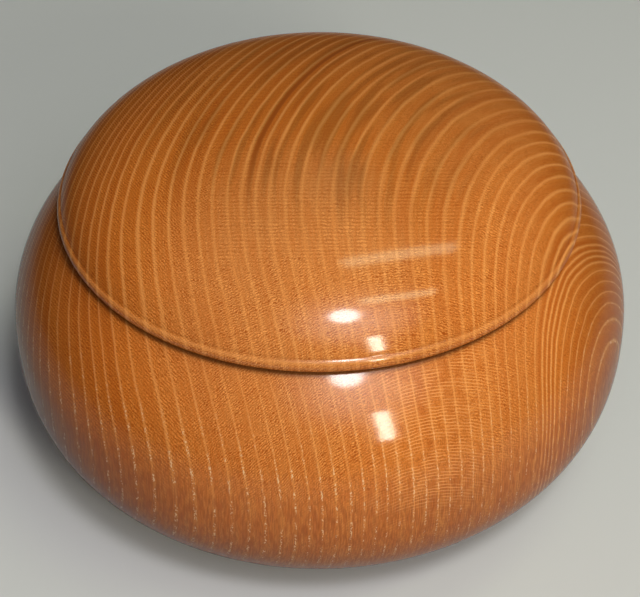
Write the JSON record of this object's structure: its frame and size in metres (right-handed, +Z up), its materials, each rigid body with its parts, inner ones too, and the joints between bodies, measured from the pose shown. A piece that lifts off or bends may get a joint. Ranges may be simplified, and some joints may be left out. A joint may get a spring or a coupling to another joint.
{
  "type": "game stone bowl",
  "caption": "Turned wooden bowl with a full round belly, a wide mouth and a domed lift-off lid with a beaded rim, for keeping the stones of a board game.",
  "frame": {"origin": "centre of the foot's resting plane, on the turning axis", "axes": "+Z up along the turning axis, +X to the right and +Y away from the viewer as the picture shows the bowl"},
  "size_m": [0.15, 0.15, 0.0985],
  "materials": {
    "turned_wood": "ring-porous hardwood with a gloss clear coat"
  },
  "bodies": {
    "bowl": {"bowl_body": "turned_wood"},
    "lid": {"lid": "turned_wood"}
  },
  "joints": [
    {"name": "lid_lift", "type": "slide", "parent": "bowl", "child": "lid", "axis": [0, 0, 1], "range_m": [0, 0.1]}
  ]
}
